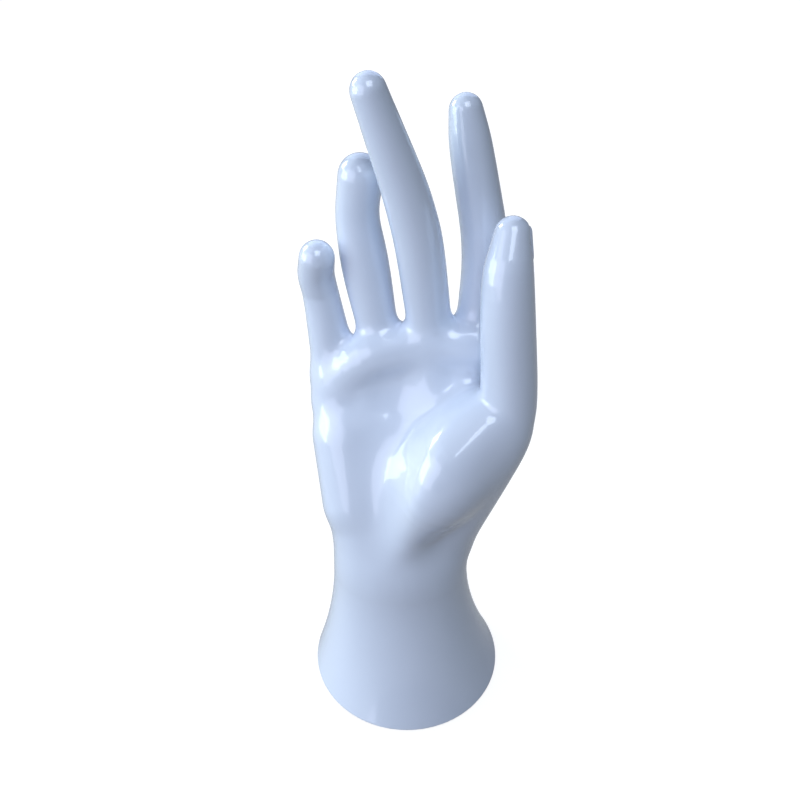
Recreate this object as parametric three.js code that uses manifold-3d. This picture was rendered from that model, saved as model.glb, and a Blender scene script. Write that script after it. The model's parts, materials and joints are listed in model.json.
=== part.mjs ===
// A hand-shaped jewelry stand. Rings hang on its fingers, bracelets and watches on its wrist.
// Millimetres, +Z up. The origin is the middle of the round foot on the table, the palm faces -Y
// and the thumb is on the +X side. The hand is two hollow moulded halves bonded along a seam that
// runs up the sides of the wrist, palm and fingers. A screwed base plate closes the foot and
// carries the iron weight, and a soft pad under it stands on the table.

import * as THREE from "three";
import Module from "manifold-3d";
import { edgeTable, triTable } from "three/addons/objects/MarchingCubes.js";
import { mergeVertices } from "three/addons/utils/BufferGeometryUtils.js";

const wasm = await Module();
wasm.setup();

// Fits between the pieces
const clearance = 0.3;
const overlap = 0.6;

// Foot and wrist
const footRadius = 35.7;
const footRimHeight = 0.8;
const flareHeight = 47.6;
const flareCurve = 1.7;
const wristHalfWidth = 24.3;
const wristHalfDepth = 19;
const wristX = -2.5;
const wristY = 2.5;

// Hand shell
const wall = 2.4;
const knuckleBlend = 7.6;
const webBlend = 4;
const wristBlend = 10;
const forearmBlend = 16;
const forearmDrop = 2.5;

// Heights: the heel of the hand above the table, and the middle finger's root above the heel
const heelHeight = 66;
const heelDepth = 5;
const palmLength = 66.7;

// Each finger: where its long bone starts in the heel of the hand, its knuckle, its root at the
// palm, a drop below the middle finger's, and the three bones above it. A bone leans sideways,
// positive to +X, and back, positive to +Y, in degrees, and its radius is the one at its far end.
const fingers = [
  {
    heel: { x: 1.3, radius: 11.9 },
    knuckleRadius: 7.9,
    root: { x: 23, y: 25.8, drop: 2.4, radius: 7.7 },
    bones: [
      { length: 31.1, side: 2.7, back: 8.8, radius: 7.3 },
      { length: 32.5, side: -11.5, back: 8, radius: 6.5 },
      { length: 9.9, side: -10.2, back: 5, radius: 5 },
    ],
  },
  {
    heel: { x: -0.2, radius: 14.1 },
    knuckleRadius: 8.3,
    root: { x: 7.8, y: 24.9, drop: 2.9, radius: 7.1 },
    bones: [
      { length: 38.3, side: -7, back: -5.4, radius: 7.4 },
      { length: 17, side: -13.8, back: -4.9, radius: 6.9 },
      { length: 31.2, side: -18.9, back: -5.6, radius: 5 },
    ],
  },
  {
    heel: { x: -6.3, radius: 13.2 },
    knuckleRadius: 10.2,
    root: { x: -8.2, y: 25.8, drop: 8.6, radius: 6 },
    bones: [
      { length: 31.7, side: -10, back: 9.7, radius: 7.8 },
      { length: 16.7, side: -8.3, back: 6.6, radius: 6.7 },
      { length: 13, side: 7.1, back: -4, radius: 6.8 },
    ],
  },
  {
    heel: { x: -12.2, radius: 11.6 },
    knuckleRadius: 8.2,
    root: { x: -24.2, y: 26.9, drop: 16.7, radius: 7.9 },
    bones: [
      { length: 28.7, side: -8, back: 8.8, radius: 5.8 },
      { length: 8.7, side: -8.3, back: -8.4, radius: 5.9 },
      { length: 7.5, side: 7.9, back: -19.9, radius: 5.6 },
    ],
  },
];

// The thumb stands in front of the palm: the ball of the thumb, its knuckle, and up to its tip.
// Each joint is a rise above the heel, and the first joints belong to the ball. The web between
// the thumb and the palm narrows from the start to the end of its rise.
const thumbJoints = [
  { x: 11.2, y: 6.3, rise: -2, radius: 13 },
  { x: 21.8, y: 0.8, rise: 23.9, radius: 10 },
  { x: 29.9, y: 2, rise: 44.5, radius: 9.5 },
  { x: 31.8, y: 4.5, rise: 56, radius: 9 },
  { x: 28.3, y: 8, rise: 96.5, radius: 7.9 },
  { x: 29.5, y: 13.3, rise: 108.3, radius: 5.4 },
];
const thumbBallCount = 4;
const thumbWeb = { startRise: 34, startBlend: 6.4, endRise: 58, endBlend: 2.5 };

// The outer edge of the palm, the crest over the ball of the thumb, the ridge along the finger
// roots, and the hollow between them
const outerEdge = [
  { x: -18.7, y: 6.4, rise: 10.7, radius: 9.5 },
  { x: -20.6, y: 16.6, rise: 30.5, radius: 10.2 },
];
const outerEdgeBlend = 10.7;
const thumbCrest = [
  { x: -0.1, y: -5.7, rise: 9.7, radius: 6.6 },
  { x: 10.1, y: -3.4, rise: 31, radius: 16.7 },
  { x: 25.1, y: 2.4, rise: 46.6, radius: 11.5 },
];
const thumbCrestBlend = 10.1;
const rootRidge = [
  { x: -25.7, y: 23.5, rise: 42.4, radius: 6.5 },
  { x: -15.7, y: 22.1, rise: 61.1, radius: 7.5 },
  { x: 7.6, y: 22.4, rise: 66.3, radius: 6.8 },
  { x: 22.3, y: 20.3, rise: 67.1, radius: 6.9 },
];
const rootRidgeBlend = 4.3;
const palmHollow = [
  { x: -14, y: -20.8, rise: 1.4, radius: 7.6 },
  { x: -10.2, y: -11.8, rise: 39.8, radius: 10.8 },
  { x: -7.4, y: 1.6, rise: 56, radius: 14.4 },
];
const palmHollowBlend = 5.9;

// How far along its bones a corner of the fingers, the thumb or a ridge begins to round
const cornerShare = 0.35;
const cornerSteps = 3;

// Seam and locating pins
const seamSoftness = 3;
const seamStep = 4;
const pinRadius = 2;
const pinDepth = 6;
const pinShoulder = 1.8;
const pinPlaces = [
  { x: -2, rise: -16 },
  { x: -13, rise: 34 },
  { x: 9, rise: 38 },
];

// Foot ledge, base plate, weight and pad. The cup round the weight stands inside the screw bosses.
const footRimWidth = 3.9;
const ledgeWidth = 4.4;
const ledgeHeight = 12;
const plateThickness = 3.2;
const padThickness = 1;
const padInset = 1;
const cupWall = 1.6;
const cupHeight = 8;
const cupGap = 1;
const weightHeight = 11;

// Screws and their bosses
const screwCount = 3;
const screwRadius = 1.5;
const screwLength = 7.5;
const screwHeadRim = 1.4;
const screwHeadHeight = 1.5;
const screwSlotWidth = 0.8;
const screwSlotDepth = 0.8;
const screwSlotShare = 0.6;
const bossWall = 1.8;
const bossFloor = 1.2;
const bossInset = 2.9;

// Radii and heights that follow from the sizes above
const rebateRadius = footRadius - footRimWidth;
const plateRadius = rebateRadius - clearance;
const padRadius = plateRadius - padInset;
const boreRadius = rebateRadius - ledgeWidth;
const pilotRadius = screwRadius + clearance;
const bossRadius = pilotRadius + bossWall;
const screwCircle = boreRadius - bossInset;
const screwHeadRadius = screwRadius + screwHeadRim;
const cupRadius = screwCircle - bossRadius - cupGap;
const weightRadius = cupRadius - cupWall - clearance;
const plateBottom = padThickness + clearance;
const plateTop = plateBottom + plateThickness;
const ledgeBottom = plateTop + clearance;
const headTop = plateBottom + screwHeadHeight;
const screwTop = headTop + screwLength;
const pilotTop = screwTop + clearance;
const bossTop = pilotTop + bossFloor;

// Fineness of the curved skins and of the round pieces. The corners of the skin's flat facets
// stand proud by the rise, so that the facets cut neither inside nor outside the true form.
const skinGrid = { x: 3.1, y: 3.4, z: 7.5, fingerZ: 5.2 };
const hollowGrid = { x: 6, y: 5.5, z: 10, fingerZ: 10 };
const seamGrid = 8;
const facetRise = 0.08;
const relaxRounds = 2;
const relaxShare = 0.5;
const settleSteps = 3;
const slopeStep = 0.05;
const leastSlope = 0.05;
const leastValue = 0.02;
const weldDistance = 1e-4;
const tiny = 1e-6;
const farAway = 1e3;
const halvings = 30;
const roundSides = 48;
const smallSides = 16;

const point = (x, y, z) => new THREE.Vector3(x, y, z);
const mix = THREE.MathUtils.lerp;
const slope = (degrees) => Math.tan(THREE.MathUtils.degToRad(degrees));

// Distance fields: negative inside a body. A round cone is two balls and the skin around both.

function blend(a, b, width) {
  const near = Math.max(width - Math.abs(a - b), 0) / width;
  return Math.min(a, b) - (near * near * width) / 4;
}

function carve(a, b, width) {
  return -blend(-a, b, width);
}

function between(p, start, end) {
  const axis = end.at.clone().sub(start.at);
  const away = p.clone().sub(start.at);
  const length = axis.length();
  const along = away.dot(axis) / length;
  const across = Math.sqrt(Math.max(away.lengthSq() - along * along, 0));
  const taper = (start.radius - end.radius) / length;
  const side = Math.sqrt(1 - taper * taper);
  const place = along * side - across * taper;
  if (place < 0) return Math.hypot(along, across) - start.radius;
  if (place > length * side) return Math.hypot(along - length, across) - end.radius;
  return across * side + along * taper - start.radius;
}

const placed = (joint) => ({ at: point(joint.x, joint.y, heelHeight + joint.rise), ...joint });

function fingerLine(finger) {
  const { heel, root, bones } = finger;
  const joints = [point(root.x, root.y, heelHeight + palmLength - root.drop)];
  for (const bone of bones) {
    const lean = point(slope(bone.side), slope(bone.back), 1).normalize();
    joints.push(joints.at(-1).clone().addScaledVector(lean, bone.length));
  }
  return {
    heel: { at: point(heel.x, heelDepth, heelHeight), radius: heel.radius },
    knuckle: { at: joints[0], radius: finger.knuckleRadius },
    joints: joints.map((at, i) => ({ at, radius: i === 0 ? root.radius : bones[i - 1].radius })),
  };
}

const onTheWay = (a, b, share) => ({
  at: a.at.clone().lerp(b.at, share),
  radius: mix(a.radius, b.radius, share),
});

// The same line of joints with its corners rounded
function rounded(joints) {
  const line = [joints[0]];
  for (let i = 1; i + 1 < joints.length; i++) {
    const corner = joints[i];
    const start = onTheWay(corner, joints[i - 1], cornerShare);
    const end = onTheWay(corner, joints[i + 1], cornerShare);
    for (let step = 0; step <= cornerSteps; step++) {
      const share = step / cornerSteps;
      line.push(onTheWay(onTheWay(start, corner, share), onTheWay(corner, end, share), share));
    }
  }
  return [...line, joints.at(-1)];
}

const fingerLines = fingers.map(fingerLine);
const fingerCurves = fingerLines.map((line) => rounded(line.joints));
const thumbLine = thumbJoints.map(placed);
const thumbCurve = rounded(thumbLine);
const thumbBallCurve = rounded(thumbLine.slice(0, thumbBallCount));
const outerEdgeLine = outerEdge.map(placed);
const thumbCrestCurve = rounded(thumbCrest.map(placed));
const rootRidgeCurve = rounded(rootRidge.map(placed));
const palmHollowCurve = rounded(palmHollow.map(placed));
const pins = pinPlaces.map(({ x, rise }) => ({ x, z: heelHeight + rise }));

function forearm(p) {
  const rise = Math.max(0, 1 - p.z / flareHeight);
  const flare = rise ** flareCurve;
  const halfWidth = mix(wristHalfWidth, footRadius, flare);
  const halfDepth = mix(wristHalfDepth, footRadius, flare);
  const x = p.x - wristX * (1 - flare);
  const y = p.y - wristY * (1 - flare);
  const reach = Math.hypot(x / halfWidth, y / halfDepth);
  const steep = Math.hypot(x / halfWidth ** 2, y / halfDepth ** 2);
  const distance = steep < tiny ? -halfDepth : (reach * (reach - 1)) / steep;
  const lean = (flareCurve * rise ** (flareCurve - 1) * (footRadius - wristHalfWidth)) / flareHeight;
  return carve(distance / Math.hypot(1, lean), heelHeight - forearmDrop - p.z, forearmBlend);
}

// Round cones from joint to joint
function chain(p, joints) {
  let all = farAway;
  for (let i = 0; i + 1 < joints.length; i++) {
    all = Math.min(all, between(p, joints[i], joints[i + 1]));
  }
  return all;
}

function palm(p) {
  let body = farAway;
  for (const line of fingerLines) {
    body = blend(body, between(p, line.heel, line.knuckle), knuckleBlend);
  }
  body = blend(body, between(p, ...outerEdgeLine), outerEdgeBlend);
  body = blend(body, chain(p, thumbCrestCurve), thumbCrestBlend);
  body = carve(body, chain(p, palmHollowCurve), palmHollowBlend);
  return blend(body, chain(p, rootRidgeCurve), rootRidgeBlend);
}

function handField(p) {
  const fingersField = Math.min(...fingerCurves.map((curve) => chain(p, curve)));
  const body = blend(blend(palm(p), forearm(p), wristBlend), fingersField, webBlend);
  const { startRise, startBlend, endRise, endBlend } = thumbWeb;
  const height = THREE.MathUtils.smoothstep(p.z - heelHeight, startRise, endRise);
  return blend(body, chain(p, thumbCurve), mix(startBlend, endBlend, height));
}

// The wrist, palm and ball of the thumb, without the fingers and the thumb that stand on them
function bodyField(p) {
  const body = blend(palm(p), forearm(p), wristBlend);
  return blend(body, chain(p, thumbBallCurve), thumbWeb.startBlend);
}

// The skins run on below the table, so that the cut along the rim meets whole facets
const belowTable = footRadius / 3;
const skinField = (p) => Math.max(handField(p) - facetRise, -belowTable - p.z);
const hollowField = (p) => Math.max(bodyField(p) + wall, -belowTable - p.z);

// A field's zero surface, as a closed skin of triangles

const cellCorners = [
  [0, 0, 0],
  [1, 0, 0],
  [1, 1, 0],
  [0, 1, 0],
  [0, 0, 1],
  [1, 0, 1],
  [1, 1, 1],
  [0, 1, 1],
];
const cellEdges = [
  [0, 1],
  [1, 2],
  [2, 3],
  [3, 0],
  [4, 5],
  [5, 6],
  [6, 7],
  [7, 4],
  [0, 4],
  [1, 5],
  [2, 6],
  [3, 7],
];

function gridLines(from, to, step) {
  const count = Math.ceil((to - from) / step);
  return Array.from({ length: count + 1 }, (_, i) => mix(from, to, i / count));
}

// Finer steps up from the finger roots than below them
function heightLines(box, step) {
  const roots = fingerLines.map((line) => line.joints[0].at.z);
  const change = Math.min(...roots);
  const low = gridLines(box.min.z, change, step.z).slice(0, -1);
  return [...low, ...gridLines(change, box.max.z, step.fingerZ)];
}

function fieldSkin(field, box, step) {
  const lines = ["x", "y"].map((axis) => gridLines(box.min[axis], box.max[axis], step[axis]));
  lines.push(heightLines(box, step));
  const [nx, ny] = lines.map((list) => list.length);
  const index = (i, j, k) => i + nx * (j + ny * k);
  const spot = (i, j, k) => point(lines[0][i], lines[1][j], lines[2][k]);
  const values = [];
  lines[2].forEach((z, k) => {
    lines[1].forEach((y, j) => {
      lines[0].forEach((x, i) => {
        const value = field(spot(i, j, k));
        values.push(Math.abs(value) < leastValue ? Math.sign(value || 1) * leastValue : value);
      });
    });
  });
  const corners = [];
  const faces = [];
  const known = new Map();
  const crossing = (a, b) => {
    const [low, high] = index(...a) < index(...b) ? [a, b] : [b, a];
    const key = `${low} ${high}`;
    if (!known.has(key)) {
      const [va, vb] = [values[index(...low)], values[index(...high)]];
      known.set(key, corners.length);
      corners.push(spot(...low).lerp(spot(...high), va / (va - vb)));
    }
    return known.get(key);
  };
  for (let k = 0; k + 1 < lines[2].length; k++) {
    for (let j = 0; j + 1 < ny; j++) {
      for (let i = 0; i + 1 < nx; i++) {
        const cell = cellCorners.map(([a, b, c]) => [i + a, j + b, k + c]);
        const kind = cell.reduce((bits, at, n) => bits | (values[index(...at)] < 0 ? 1 << n : 0), 0);
        const made = cellEdges.map(([a, b], n) =>
          edgeTable[kind] & (1 << n) ? crossing(cell[a], cell[b]) : -1,
        );
        for (let n = kind * 16; triTable[n] !== -1; n += 3) {
          faces.push([made[triTable[n]], made[triTable[n + 2]], made[triTable[n + 1]]]);
        }
      }
    }
  }
  relax(field, corners, faces);
  return skinGeometry(corners, faces);
}

function gradient(field, p) {
  const slopeAlong = (axis) => {
    const there = p.clone();
    there[axis] += slopeStep;
    const back = p.clone();
    back[axis] -= slopeStep;
    return (field(there) - field(back)) / (2 * slopeStep);
  };
  return point(slopeAlong("x"), slopeAlong("y"), slopeAlong("z"));
}

function settle(field, p) {
  for (let step = 0; step < settleSteps; step++) {
    const g = gradient(field, p);
    p.addScaledVector(g, -field(p) / Math.max(g.lengthSq(), leastSlope));
  }
}

// Evens out the triangles: each corner slides along the skin towards its neighbours' middle
function relax(field, corners, faces) {
  const near = corners.map(() => new Set());
  for (const [a, b, c] of faces) {
    near[a].add(b).add(c);
    near[b].add(c).add(a);
    near[c].add(a).add(b);
  }
  for (let round = 0; round < relaxRounds; round++) {
    const moved = corners.map((corner, i) => {
      const middle = point(0, 0, 0);
      near[i].forEach((other) => middle.add(corners[other]));
      const slide = middle.divideScalar(near[i].size).sub(corner);
      const outward = gradient(field, corner).normalize();
      slide.addScaledVector(outward, -slide.dot(outward));
      return slide.multiplyScalar(relaxShare).add(corner);
    });
    corners.forEach((corner, i) => {
      corner.copy(moved[i]);
      settle(field, corner);
    });
  }
}

function skinGeometry(corners, faces) {
  const geometry = new THREE.BufferGeometry();
  const positions = corners.flatMap((corner) => corner.toArray());
  geometry.setAttribute("position", new THREE.Float32BufferAttribute(positions, 3));
  geometry.setIndex(faces.flat());
  return geometry;
}

// Solids that can be joined and cut

function solid(geometry) {
  const bare = new THREE.BufferGeometry();
  bare.setAttribute("position", geometry.getAttribute("position").clone());
  if (geometry.index) bare.setIndex(geometry.index.clone());
  const merged = mergeVertices(bare, weldDistance);
  return new wasm.Manifold(
    new wasm.Mesh({
      numProp: 3,
      vertProperties: new Float32Array(merged.getAttribute("position").array),
      triVerts: new Uint32Array(merged.index.array),
    }),
  );
}

function disc(radius, bottom, top, x = 0, y = 0, sides = roundSides) {
  const geometry = new THREE.CylinderGeometry(radius, radius, top - bottom, sides);
  geometry.rotateX(Math.PI / 2);
  geometry.translate(x, y, (top + bottom) / 2);
  return solid(geometry);
}

function rod(radius, front, back, x, z) {
  const geometry = new THREE.CylinderGeometry(radius, radius, back - front, smallSides);
  geometry.translate(x, (front + back) / 2, z);
  return solid(geometry);
}

// A tapered bore between two joints of a digit, with the wall left round it
function bore(from, to) {
  const axis = to.at.clone().sub(from.at);
  const radii = [to.radius - wall, from.radius - wall];
  const geometry = new THREE.CylinderGeometry(...radii, axis.length(), smallSides);
  const turn = new THREE.Quaternion().setFromUnitVectors(point(0, 1, 0), axis.normalize());
  geometry.applyQuaternion(turn);
  geometry.translate(...from.at.clone().add(to.at).multiplyScalar(0.5).toArray());
  return solid(geometry);
}

function box(min, max) {
  const size = point(...max).sub(point(...min));
  const geometry = new THREE.BoxGeometry(size.x, size.y, size.z);
  geometry.translate(...point(...min).add(point(...max)).multiplyScalar(0.5).toArray());
  return solid(geometry);
}

// The seam is a gently curved sheet, y over x and z, through the middle lines of the wrist, the
// palm and the four fingers, so each half takes its side of every finger. The whole thumb lies
// in front of it.

const seamMiddles = [];
for (const line of fingerLines) {
  const stops = [line.heel, ...line.joints].map((stop) => stop.at);
  for (let i = 0; i + 1 < stops.length; i++) {
    const steps = Math.ceil(stops[i].distanceTo(stops[i + 1]) / seamStep);
    for (let n = 0; n <= steps; n++) {
      seamMiddles.push(stops[i].clone().lerp(stops[i + 1], n / steps));
    }
  }
}
for (const z of gridLines(-belowTable, heelHeight, seamStep)) {
  const flare = Math.max(0, 1 - z / flareHeight) ** flareCurve;
  seamMiddles.push(point(wristX, z < 0 ? 0 : wristY * (1 - flare), z));
}

function seamY(x, z) {
  let total = 0;
  let weighted = 0;
  for (const middle of seamMiddles) {
    const distance = Math.hypot(middle.x - x, middle.z - z);
    const weight = Math.exp(-distance / seamSoftness);
    total += weight;
    weighted += weight * middle.y;
  }
  return weighted / total;
}

const handBox = new THREE.Box3();
for (const joint of [...fingerLines.flatMap((line) => line.joints), ...thumbLine]) {
  const reach = point(joint.radius, joint.radius, joint.radius);
  handBox.expandByPoint(joint.at.clone().add(reach));
  handBox.expandByPoint(joint.at.clone().sub(reach));
}
const footReach = footRadius + belowTable;
handBox.expandByPoint(point(footReach, footReach, 0));
handBox.expandByPoint(point(-footReach, -footReach, -belowTable));
handBox.expandByScalar(skinGrid.z);

// Everything in front of the seam sheet, with the sheet moved by a distance along Y
function frontOfSeam(shift) {
  const size = handBox.getSize(point(0, 0, 0)).addScalar(skinGrid.z);
  const middle = handBox.getCenter(point(0, 0, 0));
  const across = Math.ceil(size.x / seamGrid);
  const up = Math.ceil(size.z / seamGrid);
  const geometry = new THREE.BoxGeometry(size.x, size.y, size.z, across, 1, up);
  geometry.translate(middle.x, middle.y, middle.z);
  const positions = geometry.getAttribute("position");
  for (let i = 0; i < positions.count; i++) {
    if (positions.getY(i) < middle.y) continue;
    positions.setY(i, seamY(positions.getX(i), positions.getZ(i)) + shift);
  }
  return solid(geometry);
}

// Where a line along Y through x and z meets the middle of the wall, in front or behind
function wallMiddleY(x, z, side) {
  let inside = seamY(x, z);
  let outside = side < 0 ? handBox.min.y : handBox.max.y;
  for (let step = 0; step < halvings; step++) {
    const middle = (inside + outside) / 2;
    if (handField(point(x, middle, z)) < -wall / 2) inside = middle;
    else outside = middle;
  }
  return inside;
}

// The shell, before it is split

const hollowLimit = new THREE.LatheGeometry(
  [
    new THREE.Vector2(0, handBox.min.z),
    new THREE.Vector2(boreRadius, handBox.min.z),
    new THREE.Vector2(boreRadius, ledgeBottom + ledgeHeight),
    new THREE.Vector2(handBox.max.z, handBox.max.z + ledgeHeight),
    new THREE.Vector2(0, handBox.max.z + ledgeHeight),
  ],
  roundSides,
);
hollowLimit.rotateX(Math.PI / 2);
const belowRim = box(handBox.min.toArray(), [handBox.max.x, handBox.max.y, footRimHeight]);
const skin = solid(fieldSkin(skinField, handBox, skinGrid));
let hollow = solid(fieldSkin(hollowField, handBox, hollowGrid)).intersect(solid(hollowLimit));
for (const { joints } of fingerLines) hollow = hollow.add(bore(joints[0], joints[1]));
hollow = hollow.add(bore(thumbLine[thumbBallCount - 1], thumbLine[thumbBallCount]));
const shell = skin
  .subtract(belowRim)
  .subtract(hollow)
  .subtract(disc(rebateRadius, handBox.min.z, ledgeBottom));

// The two halves

const screwPlaces = Array.from({ length: screwCount }, (_, i) => {
  const turn = (Math.PI * 2 * i) / screwCount - Math.PI / 2;
  return [screwCircle * Math.cos(turn), screwCircle * Math.sin(turn)];
});

function withBosses(half, side) {
  let made = half;
  for (const [x, y] of screwPlaces) {
    if ((y - seamY(x, ledgeBottom)) * side < 0) continue;
    const boss = disc(bossRadius, ledgeBottom, bossTop, x, y, smallSides).intersect(skin);
    const pilot = disc(pilotRadius, ledgeBottom - overlap, pilotTop, x, y, smallSides);
    made = made.add(boss).subtract(pilot);
  }
  return made;
}

function palmHalf() {
  let half = shell.intersect(frontOfSeam(-clearance / 2));
  for (const { x, z } of pins) {
    const seam = seamY(x, z) - clearance / 2;
    const front = wallMiddleY(x, z, -1);
    half = half.add(rod(pinRadius + pinShoulder, front, seam, x, z).intersect(skin));
    half = half.add(rod(pinRadius, seam - overlap, seam + clearance + pinDepth, x, z));
  }
  return withBosses(half, -1);
}

function backHalf() {
  let half = shell.subtract(frontOfSeam(clearance / 2));
  for (const { x, z } of pins) {
    const seam = seamY(x, z) + clearance / 2;
    const back = wallMiddleY(x, z, 1);
    const socket = rod(pinRadius + clearance + pinShoulder, seam, back, x, z).intersect(skin);
    const hole = rod(pinRadius + clearance, seam - overlap, seam + pinDepth + clearance, x, z);
    half = half.add(socket).subtract(hole);
  }
  return withBosses(half, 1);
}

// The base

function basePlate() {
  let plate = disc(plateRadius, plateBottom, plateTop);
  const cup = disc(cupRadius, plateTop - overlap, plateTop + cupHeight);
  const inside = disc(cupRadius - cupWall, plateTop - 2 * overlap, plateTop + 2 * cupHeight);
  plate = plate.add(cup.subtract(inside));
  const low = plateBottom - overlap;
  const seatRadius = screwHeadRadius + clearance;
  for (const [x, y] of screwPlaces) {
    const hole = disc(pilotRadius, low, plateTop + overlap, x, y, smallSides);
    const seat = disc(seatRadius, low, headTop + clearance, x, y, smallSides);
    plate = plate.subtract(hole).subtract(seat);
  }
  return plate;
}

function weight() {
  const bottom = plateTop + clearance;
  return disc(weightRadius, bottom, bottom + weightHeight);
}

function footPad() {
  return disc(padRadius, 0, padThickness);
}

function screw(x, y) {
  const head = disc(screwHeadRadius, plateBottom, headTop, x, y, smallSides);
  const shank = disc(screwRadius, headTop - overlap, screwTop, x, y, smallSides);
  const half = screwSlotWidth / 2;
  const reach = screwHeadRadius * screwSlotShare;
  const low = plateBottom - overlap;
  const high = plateBottom + screwSlotDepth;
  const slotX = box([x - reach, y - half, low], [x + reach, y + half, high]);
  const slotY = box([x - half, y - reach, low], [x + half, y + reach, high]);
  return head.add(shank).subtract(slotX).subtract(slotY);
}

// Materials and the finished group

const material = (color, roughness, metalness = 0) =>
  new THREE.MeshStandardMaterial({ color, roughness, metalness });
const glossWhite = material("#e2ebf9", 0.12);
const mattWhite = material("#d9dadb", 0.5);
const castIron = material("#4a4b4e", 0.7, 0.8);
const foam = material("#e4e4e2", 0.9);
const steel = material("#b4b6ba", 0.3, 1);

const group = new THREE.Group();
group.name = "hand_jewelry_stand";

function addPiece(name, manifold, pieceMaterial) {
  const { vertProperties, triVerts, numProp } = manifold.getMesh();
  const geometry = new THREE.BufferGeometry();
  const positions = new Float32Array((vertProperties.length / numProp) * 3);
  for (let i = 0; i < positions.length; i++) {
    positions[i] = vertProperties[Math.floor(i / 3) * numProp + (i % 3)];
  }
  geometry.setAttribute("position", new THREE.BufferAttribute(positions, 3));
  geometry.setIndex(new THREE.BufferAttribute(new Uint32Array(triVerts), 1));
  geometry.computeVertexNormals();
  const mesh = new THREE.Mesh(geometry, pieceMaterial);
  mesh.name = name;
  group.add(mesh);
}

addPiece("palm_half", palmHalf(), glossWhite);
addPiece("back_half", backHalf(), glossWhite);
addPiece("base_plate", basePlate(), mattWhite);
addPiece("weight_disc", weight(), castIron);
addPiece("foot_pad", footPad(), foam);
screwPlaces.forEach(([x, y], i) => addPiece(`base_screw_${i + 1}`, screw(x, y), steel));

export default group;
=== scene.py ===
"""The looks of a hand-shaped jewelry stand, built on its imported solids: a glossy white right hand
on a flared foot, moulded as two halves, the closed base under it, a pale floor, plain studio light
and the camera."""

import json
import math

import bpy
import numpy as np
from bpy.props import FloatProperty, FloatVectorProperty, PointerProperty
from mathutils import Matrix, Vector

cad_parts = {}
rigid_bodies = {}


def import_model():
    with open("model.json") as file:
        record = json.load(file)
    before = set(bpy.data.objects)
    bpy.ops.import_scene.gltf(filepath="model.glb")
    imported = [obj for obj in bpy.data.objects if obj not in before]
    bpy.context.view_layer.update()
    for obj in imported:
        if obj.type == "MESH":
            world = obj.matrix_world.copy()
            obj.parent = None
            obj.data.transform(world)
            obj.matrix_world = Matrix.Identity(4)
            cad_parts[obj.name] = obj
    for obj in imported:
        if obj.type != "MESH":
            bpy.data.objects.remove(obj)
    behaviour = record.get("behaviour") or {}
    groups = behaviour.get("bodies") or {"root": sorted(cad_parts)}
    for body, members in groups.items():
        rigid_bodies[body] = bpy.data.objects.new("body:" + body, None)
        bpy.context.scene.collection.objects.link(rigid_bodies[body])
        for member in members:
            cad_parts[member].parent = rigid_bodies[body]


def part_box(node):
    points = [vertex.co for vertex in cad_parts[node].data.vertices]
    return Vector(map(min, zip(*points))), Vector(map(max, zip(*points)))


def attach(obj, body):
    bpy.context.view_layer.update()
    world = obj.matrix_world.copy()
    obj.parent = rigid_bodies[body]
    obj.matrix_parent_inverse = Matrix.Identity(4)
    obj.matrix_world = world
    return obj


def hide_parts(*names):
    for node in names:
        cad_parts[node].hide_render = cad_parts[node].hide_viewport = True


bl_info = {
    "name": "Hand Jewelry Stand",
    "version": (1, 0, 0),
    "blender": (4, 5, 0),
    "location": "View3D > Sidebar > Hand Stand",
    "description": "Models a glossy hand-shaped jewelry stand with its base, stage and camera",
    "category": "Add Mesh",
}

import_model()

MM = 0.001

# Foot and wrist, in millimetres. Each is a round or oval section of the forearm.
FOOT_RADIUS = 35.7
FOOT_RIM_HEIGHT = 0.8
RIM_ROUND = 0.45
RIM_WIDTH_SHARE = 2.7
FLARE_HEIGHT = 47.6
FLARE_CURVE = 1.7
WRIST_HALF_WIDTH = 24.3
WRIST_HALF_DEPTH = 19.0
WRIST_X = -2.5
WRIST_Y = 2.5
FOREARM_DROP = 2.5

# The hand above the wrist: heel of the hand, and the middle finger's root above it
HEEL_HEIGHT = 66.0
HEEL_DEPTH = 5.0
PALM_LENGTH = 66.7

# Each finger: its long bone's start in the heel and its knuckle, its root, a drop below the
# middle finger's, and its bones: length, lean to the side and to the back in degrees, and the
# radius at the far end
FINGERS = {
    "index": {
        "heel": {"x": 1.3, "radius": 11.9},
        "knuckle": 7.9,
        "root": {"x": 23.0, "y": 25.8, "drop": 2.4, "radius": 7.7},
        "bones": [(31.1, 2.7, 8.8, 7.3), (32.5, -11.5, 8.0, 6.5), (9.9, -10.2, 5.0, 5.0)],
    },
    "middle": {
        "heel": {"x": -0.2, "radius": 14.1},
        "knuckle": 8.3,
        "root": {"x": 7.8, "y": 24.9, "drop": 2.9, "radius": 7.1},
        "bones": [(38.3, -7.0, -5.4, 7.4), (17.0, -13.8, -4.9, 6.9), (31.2, -18.9, -5.6, 5.0)],
    },
    "ring": {
        "heel": {"x": -6.3, "radius": 13.2},
        "knuckle": 10.2,
        "root": {"x": -8.2, "y": 25.8, "drop": 8.6, "radius": 6.0},
        "bones": [(31.7, -10.0, 9.7, 7.8), (16.7, -8.3, 6.6, 6.7), (13.0, 7.1, -4.0, 6.8)],
    },
    "pinky": {
        "heel": {"x": -12.2, "radius": 11.6},
        "knuckle": 8.2,
        "root": {"x": -24.2, "y": 26.9, "drop": 16.7, "radius": 7.9},
        "bones": [(28.7, -8.0, 8.8, 5.8), (8.7, -8.3, -8.4, 5.9), (7.5, 7.9, -19.9, 5.6)],
    },
}

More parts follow.
